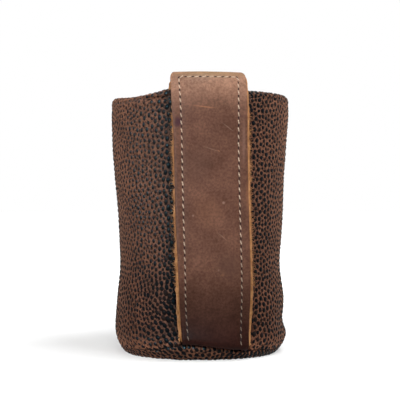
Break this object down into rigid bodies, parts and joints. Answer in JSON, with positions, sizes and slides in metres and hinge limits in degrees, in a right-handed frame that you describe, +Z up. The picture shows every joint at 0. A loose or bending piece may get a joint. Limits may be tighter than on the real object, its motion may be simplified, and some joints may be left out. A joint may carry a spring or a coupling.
{
  "type": "can cooler sleeve",
  "caption": "Pebbled leather sleeve that keeps a drinks can cool, with a folded mouth, a seamed base, foam inside and a stitched leather loop strap up its front.",
  "frame": {"origin": "on the axis of the sleeve, at the underside of its flat base", "axes": "+Z up along the sleeve, -Y towards the strap, +X to the right as the strap is looked at"},
  "size_m": [0.0841, 0.0895, 0.1272],
  "materials": {
    "pebbled_leather": "pebbled, glossy dark pebbles on matt brown",
    "smooth_leather": "smooth waxed pull-up leather, slightly mottled",
    "raw_leather": "raw cut edge, fibrous and matt",
    "foam": "matt knit-faced foam",
    "pale_thread": "matt thread",
    "brown_thread": "matt thread"
  },
  "bodies": {
    "root": {"outer_shell": "pebbled_leather", "base_panel": "pebbled_leather", "foam_liner": "foam", "foam_base_pad": "foam", "strap_face": "smooth_leather", "strap_backing": "raw_leather", "strap_thread": "pale_thread", "strap_bobbin_thread": "pale_thread", "rim_thread": "brown_thread", "rim_bobbin_thread": "brown_thread"}
  },
  "joints": []
}
